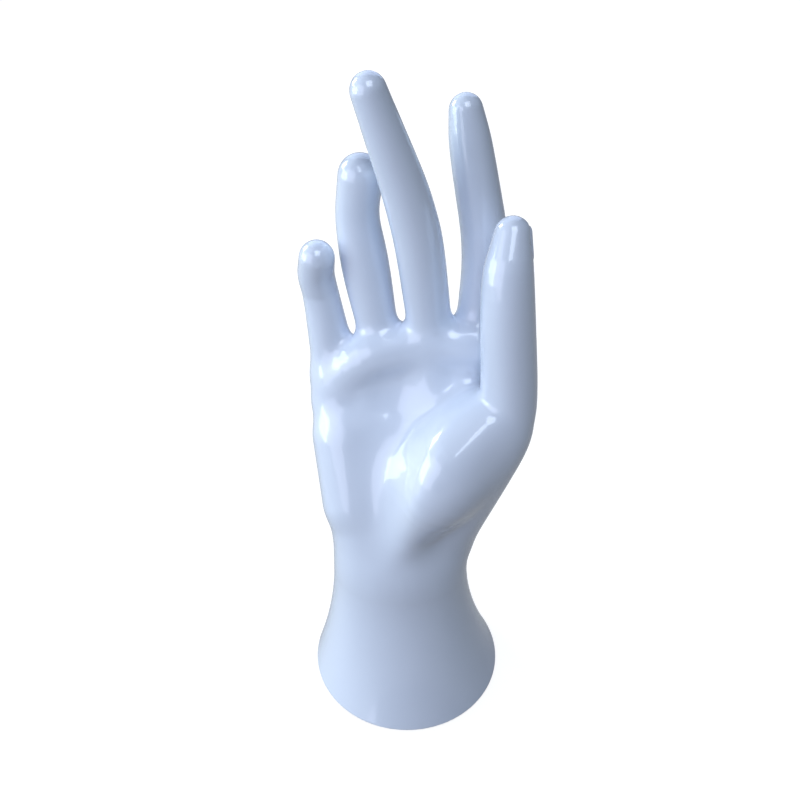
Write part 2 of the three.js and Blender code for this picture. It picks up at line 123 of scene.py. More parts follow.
# The thumb from its ball to its tip: x, y, rise above the heel and radius
THUMB = [
    (11.2, 6.3, -2.0, 13.0),
    (21.8, 0.8, 23.9, 10.0),
    (29.9, 2.0, 44.5, 9.5),
    (31.8, 4.5, 56.0, 9.0),
    (28.3, 8.0, 96.5, 7.9),
    (29.5, 13.3, 108.3, 5.4),
]
THUMB_WEB = {"start": 34.0, "start_width": 9.6, "end": 58.0, "end_width": 3.8}

# The outer edge of the palm, the crest over the ball of the thumb, the ridge along the finger roots
# and the hollow between them: x, y, rise above the heel and radius
OUTER_EDGE = [(-18.7, 6.4, 10.7, 9.5), (-20.6, 16.6, 30.5, 10.2)]
THUMB_CREST = [(-0.1, -5.7, 9.7, 6.6), (10.1, -3.4, 31.0, 16.7), (25.1, 2.4, 46.6, 11.5)]
ROOT_RIDGE = [
    (-25.7, 23.5, 42.4, 6.5),
    (-15.7, 22.1, 61.1, 7.5),
    (7.6, 22.4, 66.3, 6.8),
    (22.3, 20.3, 67.1, 6.9),
]
PALM_HOLLOW = [(-14.0, -20.8, 1.4, 7.6), (-10.2, -11.8, 39.8, 10.8), (-7.4, 1.6, 56.0, 14.4)]

# Widths over which neighbouring forms run into each other
KNUCKLE_BLEND = 11.4
EDGE_BLEND = 16.1
CREST_BLEND = 15.2
HOLLOW_BLEND = 8.9
RIDGE_BLEND = 6.4
WRIST_BLEND = 15.0
FOREARM_BLEND = 24.0
WEB_BLEND = 6.0

# How far along its bones a corner begins to round, in how many steps, and a distance past any form
CORNER_SHARE = 0.35
CORNER_STEPS = 5
FAR_AWAY = 1e3

# Nails: half their width and length as shares of the finger tip's radius, how square they are, how
# far they stand proud, the groove round them, how sharply they end at the sides of the finger, and
# which way they face
NAIL_HALF_WIDTH = 0.78
NAIL_HALF_LENGTH = 0.95
NAIL_BACK = 0.35
NAIL_SQUARENESS = 3
NAIL_RISE = 0.22
NAIL_GROOVE = 0.2
NAIL_GROOVE_WIDTH = 0.07
NAIL_SIDE_FADE = 4
FINGER_NAIL_FACES = (0.0, 1.0, 0.0)
THUMB_NAIL_FACES = (0.85, 0.35, 0.0)

# The seam between the two moulded halves, and how its long straight edges are split
SEAM_SOFTNESS = 3.0
SEAM_STEP = 4.0
SEAM_TOLERANCE = 1e-4
SEAM_EDGE = 1.2
SEAM_SPLITS = 4

# The foot: its rim and ledge, the pad, the base plate with its cup and ribs, and the weight
CLEARANCE = 0.3
RIM_WIDTH = 3.9
LEDGE_WIDTH = 4.4
LEDGE_HEIGHT = 12.0
PAD_THICKNESS = 1.0
GLUE_INSET = 0.8
PLATE_THICKNESS = 3.2
CUP_GAP = 1.0
CUP_WALL = 1.6
CUP_HEIGHT = 8.0
RIB_COUNT = 6
RIB_WIDTH = 1.4
RIB_HEIGHT = 3.5
RIB_SINK = 1.0
RIB_INSET = 1.0
WEIGHT_RIM = 2.5
WEIGHT_DISH = 0.8

# The screws and their bosses
SCREW_COUNT = 3
SCREW_RADIUS = 1.5
SCREW_LENGTH = 7.5
SCREW_POINT_SHARE = 0.35
SCREW_HEAD_RIM = 1.4
SCREW_HEAD_HEIGHT = 1.5
SCREW_HEAD_ROUND = 0.6
SCREW_CORE_SINK = 0.5
SLOT_SHARE = 0.6
SLOT_WIDTH = 0.8
SLOT_DEPTH = 0.8
THREAD_DEPTH = 0.35
THREAD_SINK = 0.08
THREAD_HALF_WIDTH = 0.2
THREAD_END = 0.9
BOSS_WALL = 1.8
BOSS_FLOOR = 1.2
BOSS_INSET = 2.9

# Radii and heights that follow from the sizes above
REBATE_RADIUS = FOOT_RADIUS - RIM_WIDTH
BORE_RADIUS = REBATE_RADIUS - LEDGE_WIDTH
PLATE_RADIUS = REBATE_RADIUS - CLEARANCE
PLATE_BOTTOM = PAD_THICKNESS + CLEARANCE
PLATE_TOP = PLATE_BOTTOM + PLATE_THICKNESS
LEDGE_BOTTOM = PLATE_TOP + CLEARANCE
PILOT_RADIUS = SCREW_RADIUS + CLEARANCE
BOSS_RADIUS = PILOT_RADIUS + BOSS_WALL
SCREW_CIRCLE = BORE_RADIUS - BOSS_INSET
SCREW_HEAD_RADIUS = SCREW_RADIUS + SCREW_HEAD_RIM
SCREW_HEAD_TOP = PLATE_BOTTOM + SCREW_HEAD_HEIGHT
SCREW_TOP = SCREW_HEAD_TOP + SCREW_LENGTH
PILOT_TOP = SCREW_TOP + CLEARANCE
BOSS_TOP = PILOT_TOP + BOSS_FLOOR
CUP_RADIUS = SCREW_CIRCLE - BOSS_RADIUS - CUP_GAP

# Modelling: how thin the fingers start and how far the wrist's rings overlap before the skin settles
# on the form, the sides of round things, how near and how square to the form a face takes its
# normals, how far past a nail the mesh is refined, how steeply up a top face looks, how far cuts run
# past what they cut, how the form's slope is measured, how near the forearm's axis counts as on it,
# how near a height a point counts as at it, and how near two points merge, in metres
ROUGH_FINGER_SHARE = 0.85
ROUGH_RINGS = 9
ROUGH_SIDES = 24
ROUGH_BALL_RINGS = 16
ROUGH_FOOT_SIDES = 64
ROUND_SIDES = 128
SMALL_SIDES = 48
WEIGHT_SIDES = 96
CORE_SIDES = 32
THREAD_STEPS = 32
ROUGH_OVERLAP = 1.1
SKIN_REACH = 0.06
SKIN_FACING = 0.6
DETAIL_REACH = 1.15
TOP_FACING = 0.9
CUT_PAST = 1.0
BELOW_FOOT = 20.0
FAR_BELOW_FOOT = 30.0
HOLLOW_RISE = 240.0
FAR_SIDE = 100.0
SLOPE_STEP = 0.02
LEAST_STEEP = 0.2
NEAR_AXIS = 1e-3
LEAST_DIVISOR = 1e-6
AT_HEIGHT = 0.01
MERGE_DISTANCE = 1e-6

# The photograph's camera, in millimetres and degrees
CAMERA_PLACE = (-2.66, -206.7, 280.9)
CAMERA_TILT = 36.99
CAMERA_LENS = 37.8

# The stage: how white the floor and the backdrop are as the camera sees them and as shiny surfaces
# mirror them, the sky's own light, and the soft lamps round the stand, each with its place, size in
# metres, power and colour. Further out, where the lamps no longer reach, the floor is seen whiter.
FLOOR_SIZE = 12.0
FLOOR_COLOUR = (0.3, 0.3, 0.3)
FLOOR_SEEN = 0.86
FAR_FLOOR_SEEN = 1.0
FLOOR_NEAR = 0.35
FLOOR_FAR = 1.2
FLOOR_MIRRORED = 0.2
SKY_SEEN = 1.0
SKY_MIRRORED = 0.12
SKY_LIGHT = 0.02
LAMPS_AIM = (0.0, 0.005, 0.11)
LAMPS = [
    ("left_lamp", (-0.9, 0.0, 0.19), 0.6, 4.2, (0.77, 0.93, 1.0)),
    ("left_back_lamp", (-0.67, 0.47, 0.49), 0.3, 3.2, (0.95, 1.0, 1.0)),
    ("front_left_lamp", (-0.71, -0.49, 0.34), 0.9, 4.8, (0.78, 0.81, 1.0)),
    ("front_top_lamp", (0.1, -0.42, 0.89), 0.5, 3.8, (0.74, 0.84, 1.0)),
    ("back_lamp", (0.0, 0.74, 0.63), 0.9, 3.2, (0.56, 0.69, 1.0)),
]


def lerp(a, b, share):
    return a + (b - a) * share


def joint(x, y, z, radius):
    return np.array((x, y, z, radius), float)


def from_rises(stops):
    return [joint(x, y, HEEL_HEIGHT + rise, radius) for x, y, rise, radius in stops]


def finger_joints(finger):
    """The root and the far end of each bone, as x, y, z and radius."""
    root = finger["root"]
    joints = [joint(root["x"], root["y"], HEEL_HEIGHT + PALM_LENGTH - root["drop"], root["radius"])]
    for length, side, back, radius in finger["bones"]:
        lean = Vector((math.tan(math.radians(side)), math.tan(math.radians(back)), 1)).normalized()
        joints.append(joint(*(Vector(joints[-1][:3]) + lean * length), radius))
    return joints


def rounded(joints):
    """The same line of joints with its inner corners rounded."""
    line = [joints[0]]
    for before, corner, after in zip(joints, joints[1:], joints[2:]):
        start = lerp(corner, before, CORNER_SHARE)
        end = lerp(corner, after, CORNER_SHARE)
        for step in range(CORNER_STEPS + 1):
            t = step / CORNER_STEPS
            line.append(lerp(lerp(start, corner, t), lerp(corner, end, t), t))
    return line + [joints[-1]]


def soft_min(a, b, width):
    near = np.maximum(width - np.abs(a - b), 0) / width
    return np.minimum(a, b) - near**3 * width / 6


def soft_max(a, b, width):
    return -soft_min(-a, -b, width)


def bone(points, start, end):
    """Distance to two balls and the skin round both."""
    axis = end[:3] - start[:3]
    length = np.linalg.norm(axis)
    away = points - start[:3]
    along = away @ axis / length
    across = np.sqrt(np.maximum((away * away).sum(1) - along * along, 0))
    taper = (start[3] - end[3]) / length
    side = math.sqrt(1 - taper * taper)
    place = along * side - across * taper
    low = np.hypot(along, across) - start[3]
    high = np.hypot(along - length, across) - end[3]
    middle = across * side + along * taper - start[3]
    return np.where(place < 0, low, np.where(place > length * side, high, middle))


def chain(points, joints):
    distance = np.full(len(points), FAR_AWAY)
    for start, end in zip(joints, joints[1:]):
        distance = np.minimum(distance, bone(points, start, end))
    return distance


def nail_frame(joints, faces):
    """A nail's place in the tip, its directions across, along and out, and the tip's radius."""
    before, tip = joints[-2], joints[-1]
    along = tip[:3] - before[:3]
    along /= np.linalg.norm(along)
    out = np.array(faces, float)
    out -= along * (out @ along)
    out /= np.linalg.norm(out)
    place = tip[:3] - along * NAIL_BACK * tip[3]
    return place, np.cross(out, along), along, out, tip[3]


class HandForm:
    """The form of the whole hand as a distance in millimetres, negative inside it."""

    def __init__(self, rim_round=RIM_ROUND):
        self.rim_width = rim_round * RIM_WIDTH_SHARE
        self.fingers = {name: finger_joints(finger) for name, finger in FINGERS.items()}
        self.lines = {name: rounded(joints) for name, joints in self.fingers.items()}
        self.thumb = from_rises(THUMB)
        self.thumb_line = rounded(self.thumb)
        self.edge = from_rises(OUTER_EDGE)
        self.crest = rounded(from_rises(THUMB_CREST))
        self.ridge = rounded(from_rises(ROOT_RIDGE))
        self.hollow = rounded(from_rises(PALM_HOLLOW))
        self.heels = {}
        for name, finger in FINGERS.items():
            heel = joint(finger["heel"]["x"], HEEL_DEPTH, HEEL_HEIGHT, finger["heel"]["radius"])
            knuckle = self.fingers[name][0].copy()
            knuckle[3] = finger["knuckle"]
            self.heels[name] = (heel, knuckle)
        self.nails = [nail_frame(joints, FINGER_NAIL_FACES) for joints in self.fingers.values()]
        self.nails.append(nail_frame(self.thumb, THUMB_NAIL_FACES))

    def forearm(self, points):
        x, y, z = points.T
        rise = np.maximum(0, 1 - z / FLARE_HEIGHT)
        flare = rise**FLARE_CURVE
        half_width = lerp(WRIST_HALF_WIDTH, FOOT_RADIUS, flare)
        half_depth = lerp(WRIST_HALF_DEPTH, FOOT_RADIUS, flare)
        x = x - WRIST_X * (1 - flare)
        y = y - WRIST_Y * (1 - flare)
        reach = np.hypot(x / half_width, y / half_depth)
        steep = np.maximum(np.hypot(x / half_width**2, y / half_depth**2), LEAST_DIVISOR)
        distance = np.where(reach < NEAR_AXIS, -half_depth, reach * (reach - 1) / steep)
        lean = FLARE_CURVE * rise ** (FLARE_CURVE - 1) * (FOOT_RADIUS - WRIST_HALF_WIDTH) / FLARE_HEIGHT
        top = z - (HEEL_HEIGHT - FOREARM_DROP)
        return soft_max(distance / np.hypot(1, lean), top, FOREARM_BLEND)

    def palm(self, points):
        body = np.full(len(points), FAR_AWAY)
        for heel, knuckle in self.heels.values():
            body = soft_min(body, bone(points, heel, knuckle), KNUCKLE_BLEND)
        body = soft_min(body, bone(points, *self.edge), EDGE_BLEND)
        body = soft_min(body, chain(points, self.crest), CREST_BLEND)
        body = soft_max(body, -chain(points, self.hollow), HOLLOW_BLEND)
        return soft_min(body, chain(points, self.ridge), RIDGE_BLEND)

    def nail_rise(self, points):
        """How far the nails and the grooves round them lift or lower the skin."""
        rise = np.zeros(len(points))
        for place, side, along, out, radius in self.nails:
            away = points - place
            across = np.abs(away @ side) / (NAIL_HALF_WIDTH * radius)
            length = np.abs(away @ along) / (NAIL_HALF_LENGTH * radius)
            reach = (across**NAIL_SQUARENESS + length**NAIL_SQUARENESS) ** (1 / NAIL_SQUARENESS)
            edge = np.clip((1 - reach) / NAIL_GROOVE_WIDTH, 0, 1)
            plate = edge * edge * (3 - 2 * edge)
            groove = np.exp(-(((reach - 1) / NAIL_GROOVE_WIDTH) ** 2))
            facing = np.clip(away @ out / radius * NAIL_SIDE_FADE, 0, 1)
            rise += facing * (NAIL_RISE * plate - NAIL_GROOVE * groove)
        return rise

    def near_detail(self, points):
        """Which points lie on a nail or close round it, or on the rim of the foot."""
        low = np.abs(points[:, 2] - FOOT_RIM_HEIGHT) < self.rim_width * DETAIL_REACH
        near = low & (np.hypot(points[:, 0], points[:, 1]) > FOOT_RADIUS - 2 * self.rim_width)
        for place, side, along, out, radius in self.nails:
            away = points - place
            across = np.abs(away @ side) < NAIL_HALF_WIDTH * radius * DETAIL_REACH
            length = np.abs(away @ along) < NAIL_HALF_LENGTH * radius * DETAIL_REACH
            near |= across & length & (away @ out > 0)
        return near

    def __call__(self, points):
        body = soft_min(self.palm(points), self.forearm(points), WRIST_BLEND)
        fingers = np.min([chain(points, line) for line in self.lines.values()], axis=0)
        body = soft_min(body, fingers, WEB_BLEND)
        web = THUMB_WEB
        share = np.clip((points[:, 2] - HEEL_HEIGHT - web["start"]) / (web["end"] - web["start"]), 0, 1)
        share = share * share * (3 - 2 * share)
        width = lerp(web["start_width"], web["end_width"], share)
        body = soft_min(body, chain(points, self.thumb_line), width) - self.nail_rise(points)
        return soft_max(body, FOOT_RIM_HEIGHT - points[:, 2], self.rim_width)

    def slope(self, points, value):
        sides = [(self(points + SLOPE_STEP * axis) - value) / SLOPE_STEP for axis in np.eye(3)]
        return np.stack(sides, axis=1)

    def unit_slope(self, points):
        slope = self.slope(points, self(points))
        return slope / np.linalg.norm(slope, axis=1, keepdims=True)

    def settle(self, points, rounds=3, limit=1.5):
        """Moves points onto the skin, straight along the form's slope."""
        for _ in range(rounds):
            value = self(points)
            slope = self.slope(points, value)
            steep = np.maximum((slope * slope).sum(1), LEAST_STEEP)
            move = np.clip(value / steep, -limit, limit)
            points = points - slope * move[:, None]
        return points


def seam_middles(form):
    """Points down the middles of the wrist, the palm and the fingers, which the seam runs through."""
    stops = []
    for name, joints in form.fingers.items():
        line = [form.heels[name][0][:3]] + [stop[:3] for stop in joints]
        for start, end in zip(line, line[1:]):
            steps = math.ceil(np.linalg.norm(end - start) / SEAM_STEP)
            stops += [lerp(start, end, n / steps) for n in range(steps + 1)]
    for z in np.arange(-FOOT_RADIUS / 3, HEEL_HEIGHT, SEAM_STEP):
        flare = max(0, 1 - z / FLARE_HEIGHT) ** FLARE_CURVE
        stops.append(np.array((WRIST_X, 0 if z < 0 else WRIST_Y * (1 - flare), z)))
    return np.array(stops)


def seam_y(middles, points):
    """How far back the seam lies at each point's x and z."""
    away = np.hypot(points[:, :1] - middles[:, 0], points[:, 2:] - middles[:, 2])
    weight = np.exp(-away / SEAM_SOFTNESS)
    return weight @ middles[:, 1] / weight.sum(1)


# The settings a user would change


def length(name, description, size):
    return FloatProperty(
        name=name, description=description, default=size * MM, min=0, unit="LENGTH", subtype="DISTANCE"
    )


def colour(name, description, shade):
    return FloatVectorProperty(
        name=name, description=description, default=shade, min=0, max=1, size=3, subtype="COLOR"
    )


class StandSizes(bpy.types.PropertyGroup):
    """Sizes of the stand's pieces"""

    skin_step: length("Skin step", "Spacing of the points on the hand's skin", 0.95)
    wall: length("Wall", "Thickness of the moulded wall", 2.4)
    rim_round: length("Rim round", "Rounding of the foot's lower edge", RIM_ROUND)
    edge_round: length("Edge round", "Rounding of the base plate's edges", 0.35)
    weight_chamfer: length("Weight chamfer", "Chamfer round the cast weight", 0.5)
    thread_pitch: length("Thread pitch", "Pitch of the self-tapping screws", 1.1)
    pad_round: length("Pad round", "Rounding of the foam pad's edge", 0.3)


class StandColours(bpy.types.PropertyGroup):
    """Colours of the stand's finishes"""

    lacquer: colour("Lacquer", "Gloss lacquer on the hand", (0.76, 0.83, 0.945))
    plate: colour("Base plate", "Moulded plastic of the base plate", (0.69, 0.70, 0.71))
    iron: colour("Weight", "Bare cast iron of the weight", (0.07, 0.072, 0.078))
    steel: colour("Screws", "Zinc plating on the screws", (0.55, 0.57, 0.60))
    foam: colour("Foot pad", "Foam of the foot pad", (0.76, 0.76, 0.75))


# Working on meshes


def deselect():
    if bpy.context.object and bpy.context.object.mode != "OBJECT":
        bpy.ops.object.mode_set(mode="OBJECT")
    bpy.ops.object.select_all(action="DESELECT")


def activate(piece):
    deselect()
    piece.select_set(True)
    bpy.context.view_layer.objects.active = piece


def join(pieces, name):
    deselect()
    for piece in pieces:
        piece.select_set(True)
    bpy.context.view_layer.objects.active = pieces[0]
    bpy.ops.object.join()
    joined = bpy.context.object
    joined.name = joined.data.name = name
    return joined


def copy_of(piece, name):
    activate(piece)
    bpy.ops.object.duplicate()
    copied = bpy.context.object
    copied.name = copied.data.name = name
    return copied


def remove(piece):
    activate(piece)
    bpy.ops.object.delete()


def set_in_place(piece):
    activate(piece)
    bpy.ops.object.transform_apply(location=True, rotation=True, scale=True)


def apply_modifier(piece, kind, **settings):
    activate(piece)
    modifier = piece.modifiers.new(kind.title(), kind)
    for key, value in settings.items():
        setattr(modifier, key, value)
    bpy.ops.object.modifier_apply(modifier=modifier.name)


def combine(piece, other, operation):
    """Joins, cuts or keeps what both hold, and uses the other piece up."""
    apply_modifier(piece, "BOOLEAN", operation=operation, object=other, solver="MANIFOLD")
    if not piece.data.polygons:
        raise RuntimeError(f"{operation} left nothing of {piece.name}")
    remove(other)
    return piece


def corners(piece):
    """The mesh's points in millimetres."""
    flat = np.empty(len(piece.data.vertices) * 3, np.float32)
    piece.data.vertices.foreach_get("co", flat)
    return flat.reshape(-1, 3).astype(float) / MM


def set_corners(piece, points):
    piece.data.vertices.foreach_set("co", (points * MM).astype(np.float32).ravel())
    piece.data.update()


def edit(piece, kind="FACE", action="SELECT"):
    activate(piece)
    bpy.ops.object.mode_set(mode="EDIT")
    bpy.ops.mesh.select_mode(type=kind)
    bpy.ops.mesh.select_all(action=action)


def end_edit():
    bpy.ops.object.mode_set(mode="OBJECT")


def edit_faces(piece, chosen):
    """Opens the piece with only the chosen faces selected."""
    edit(piece, "FACE", "DESELECT")
    end_edit()
    for face in piece.data.polygons:
        face.select = bool(chosen(face))
    bpy.ops.object.mode_set(mode="EDIT")


def edit_edges(piece, chosen, over=0.0):
    """Opens the piece with only the edges selected over a length whose two ends are both chosen."""
    edit(piece, "EDGE", "DESELECT")
    end_edit()
    places = corners(piece)
    ends = np.empty(len(piece.data.edges) * 2, np.int32)
    piece.data.edges.foreach_get("vertices", ends)
    starts, stops = ends.reshape(-1, 2).T
    picked = chosen(places)
    long_enough = np.linalg.norm(places[starts] - places[stops], axis=1) > over
    piece.data.edges.foreach_set("select", picked[starts] & picked[stops] & long_enough)
    bpy.ops.object.mode_set(mode="EDIT")


def outward(piece):
    edit(piece)
    bpy.ops.mesh.remove_doubles(threshold=MERGE_DISTANCE)
    bpy.ops.mesh.normals_make_consistent(inside=False)
    end_edit()


def smooth(piece, angle=35):
    activate(piece)
    bpy.ops.object.shade_smooth_by_angle(angle=math.radians(angle))


def is_top(face):
    return face.normal.z > TOP_FACING


def disc(radius, low, high, place=(0, 0), sides=ROUND_SIDES, name="disc"):
    """A round block between two heights, all in millimetres."""
    deselect()
    bpy.ops.mesh.primitive_cylinder_add(
        vertices=sides,
        radius=radius * MM,
        depth=(high - low) * MM,
        location=Vector((place[0], place[1], (low + high) / 2)) * MM,
    )
    made = bpy.context.object
    made.name = made.data.name = name
    set_in_place(made)
    return made


def block(low, high, name="block"):
    deselect()
    bpy.ops.mesh.primitive_cube_add(size=1, location=(Vector(low) + Vector(high)) / 2 * MM)
    made = bpy.context.object
    made.name = made.data.name = name
    made.scale = (Vector(high) - Vector(low)) * MM
    set_in_place(made)
    return made


# The hand


def rough_bone(start, end, share=1.0):
    """A cone between two joints and a ball on each, as the start of a limb."""
    axis = Vector(end[:3] - start[:3])
    turn = axis.to_track_quat("Z", "Y").to_euler()
    middle = Vector(lerp(start[:3], end[:3], 0.5)) * MM
    deselect()
    bpy.ops.mesh.primitive_cone_add(
        vertices=ROUGH_SIDES,
        radius1=start[3] * share * MM,
        radius2=end[3] * share * MM,
        depth=axis.length * MM,
        location=middle,
        rotation=turn,
    )
    made = [bpy.context.object]
    for stop in (start, end):
        bpy.ops.mesh.primitive_uv_sphere_add(
            segments=ROUGH_SIDES,
            ring_count=ROUGH_BALL_RINGS,
            radius=stop[3] * share * MM,
            location=Vector(stop[:3]) * MM,
        )
        made.append(bpy.context.object)
    return made


def rough_hand(form, voxel):
    """Balls and cones along the bones of the hand, fused into one closed skin."""
    made = []
    for line in [*form.fingers.values(), form.thumb]:
        for start, end in zip(line, line[1:]):
            made += rough_bone(start, end, ROUGH_FINGER_SHARE)
    for line in [*form.heels.values(), form.edge, from_rises(THUMB_CREST), from_rises(ROOT_RIDGE)]:
        for start, end in zip(line, line[1:]):
            made += rough_bone(start, end)
    rings = np.linspace(FOOT_RIM_HEIGHT, HEEL_HEIGHT, ROUGH_RINGS)
    for low, high in zip(rings, rings[1:]):
        flares = [max(0, 1 - z / FLARE_HEIGHT) ** FLARE_CURVE for z in (low, high)]
        radii = [lerp((WRIST_HALF_WIDTH + WRIST_HALF_DEPTH) / 2, FOOT_RADIUS, flare) for flare in flares]
        place = (WRIST_X * (1 - flares[0]), WRIST_Y * (1 - flares[0]), (low + high) / 2)
        deselect()
        bpy.ops.mesh.primitive_cone_add(
            vertices=ROUGH_FOOT_SIDES,
            radius1=radii[0] * MM,
            radius2=radii[1] * MM,
            depth=(high - low) * ROUGH_OVERLAP * MM,
            location=Vector(place) * MM,
        )
        made.append(bpy.context.object)
    hand = join(made, "hand_skin")
    set_in_place(hand)
    apply_modifier(hand, "REMESH", mode="VOXEL", voxel_size=voxel)
    return hand


def hand_skin(form, voxel):
    """The closed outer skin, with more points round the nails and the rim of the foot."""
    hand = rough_hand(form, voxel)
    set_corners(hand, form.settle(corners(hand), rounds=6))
    for _ in range(2):
        edit(hand)
        bpy.ops.mesh.vertices_smooth(factor=0.5, repeat=3)
        end_edit()
        set_corners(hand, form.settle(corners(hand), rounds=2))
    for _ in range(2):
        near = form.near_detail(corners(hand))
        edit_faces(hand, lambda face: all(near[index] for index in face.vertices))
        bpy.ops.mesh.subdivide(number_cuts=1)
        end_edit()
        set_corners(hand, form.settle(corners(hand), rounds=2))
    return hand


def hollow_core(form, skin, wall):
    """The space inside the skin, kept clear of the foot's ledge and of the screw bosses."""
    core = copy_of(skin, "hollow_core")
    points = corners(core)
    set_corners(core, points - form.unit_slope(points) * wall / MM)
    limit = disc(BORE_RADIUS, -BELOW_FOOT, LEDGE_BOTTOM + LEDGE_HEIGHT, name="hollow_limit")
    edit_faces(limit, is_top)
    bpy.ops.mesh.extrude_region_move(TRANSFORM_OT_translate={"value": (0, 0, HOLLOW_RISE * MM)})
    wide = (BORE_RADIUS + HOLLOW_RISE) / BORE_RADIUS
    bpy.ops.transform.resize(value=(wide, wide, 1), center_override=(0, 0, HOLLOW_RISE * MM))
    end_edit()
    combine(core, limit, "INTERSECT")
    for place in screw_places():
        combine(core, disc(BOSS_RADIUS, -FAR_BELOW_FOOT, BOSS_TOP, place, SMALL_SIDES), "DIFFERENCE")
    combine(core, disc(REBATE_RADIUS, -BELOW_FOOT, LEDGE_BOTTOM), "UNION")
    for place in screw_places():
        pilot = disc(PILOT_RADIUS, LEDGE_BOTTOM - CUT_PAST, PILOT_TOP, place, SMALL_SIDES)
        combine(core, pilot, "UNION")
    return core


def mend_cut(piece):
    """Takes away folded faces, which share an edge with no other face, and loose specks."""
    mesh = piece.data
    loop_edges = np.empty(len(mesh.loops), np.int32)
    mesh.loops.foreach_get("edge_index", loop_edges)
    starts = np.empty(len(mesh.polygons), np.int32)
    mesh.polygons.foreach_get("loop_start", starts)
    is_open = np.bincount(loop_edges, minlength=len(mesh.edges)) == 1
    folded = np.add.reduceat(is_open[loop_edges].astype(int), starts) > 0
    edit_faces(piece, lambda face: folded[face.index])
    bpy.ops.mesh.delete(type="FACE")
    edit(piece, "VERT", "DESELECT")
    end_edit()
    piece.data.vertices[int(corners(piece)[:, 2].argmin())].select = True
    bpy.ops.object.mode_set(mode="EDIT")
    bpy.ops.mesh.select_linked()
    bpy.ops.mesh.select_all(action="INVERT")
    bpy.ops.mesh.delete(type="VERT")
    end_edit()


def screw_places():
    turns = [math.tau * i / SCREW_COUNT - math.pi / 2 for i in range(SCREW_COUNT)]
    return [(SCREW_CIRCLE * math.cos(turn), SCREW_CIRCLE * math.sin(turn)) for turn in turns]


def hand_solid(form, sizes):
    """The whole hollow hand before it is split."""
    skin = hand_skin(form, sizes.skin_step)
    core = hollow_core(form, skin, sizes.wall)
    return combine(skin, core, "DIFFERENCE")


def half_of(shell, middles, name, front):
    """One side of the seam, which is cut as a plane while the hand is sheared to lie flat on it.

    The cut leaves long straight edges and many-sided faces. They are split while they are still
    flat, so that both sides bend the same way.
    """
    half = copy_of(shell, name)
    points = corners(half)
    points[:, 1] -= seam_y(middles, points)
    set_corners(half, points)
    ends = (-FAR_SIDE, 0) if front else (0, FAR_SIDE)
    side = block((-FAR_SIDE, ends[0], -FAR_SIDE), (FAR_SIDE, ends[1], 3 * FAR_SIDE), "side")
    combine(half, side, "INTERSECT")
    for _ in range(SEAM_SPLITS):
        edit_edges(half, lambda p: np.abs(p[:, 1]) < SEAM_TOLERANCE, over=SEAM_EDGE)
        bpy.ops.mesh.subdivide(number_cuts=1)
        end_edit()
    edit(half, "FACE", "DESELECT")
    bpy.ops.mesh.select_face_by_sides(number=4, type="GREATER")
    bpy.ops.mesh.quads_convert_to_tris(ngon_method="BEAUTY")
    end_edit()
    mend_cut(half)
    points = corners(half)
    level = np.where(np.abs(points[:, 1]) < SEAM_TOLERANCE, 0, points[:, 1])
    points[:, 1] = level + seam_y(middles, points)
    set_corners(half, points)
    return half


def set_skin_normals(piece, form):
    """Gives the skin the form's own normals, so that light runs on over the seam.

    Everywhere else they are set to zero, which leaves the mesh its own.
    """
    smooth(piece)
    mesh = piece.data
    points = corners(piece)
    value = form(points)
    normals = form.unit_slope(points)
    on_skin = np.abs(value) < SKIN_REACH
    count = len(mesh.loops)
    loop_points = np.empty(count, np.int32)
    mesh.loops.foreach_get("vertex_index", loop_points)
    turned = normals[loop_points]
    kept = on_skin[loop_points]
    for face in mesh.polygons:
        loops = slice(face.loop_start, face.loop_start + face.loop_total)
        facing = turned[loops] @ np.array(face.normal)
        if not kept[loops].all() or facing.min() < SKIN_FACING:
            turned[loops] = 0
    mesh.normals_split_custom_set(turned.tolist())


# Materials


RAY_KINDS = ("Camera", "Glossy", "Transmission")


class Wire:
    """A shader socket that takes part in Python sums and products."""

    def __init__(self, graph, socket):
        self.graph = graph
        self.socket = socket

    def math(self, operation, *values):
        return self.graph.add("ShaderNodeMath", {"operation": operation}, dict(enumerate(values)))

    def __add__(self, other):
        return self.math("ADD", self, other)

    def __sub__(self, other):
        return self.math("SUBTRACT", self, other)

    def __rsub__(self, other):
        return self.math("SUBTRACT", other, self)

    def __mul__(self, other):
        return self.math("MULTIPLY", self, other)

    __radd__ = __add__
    __rmul__ = __mul__


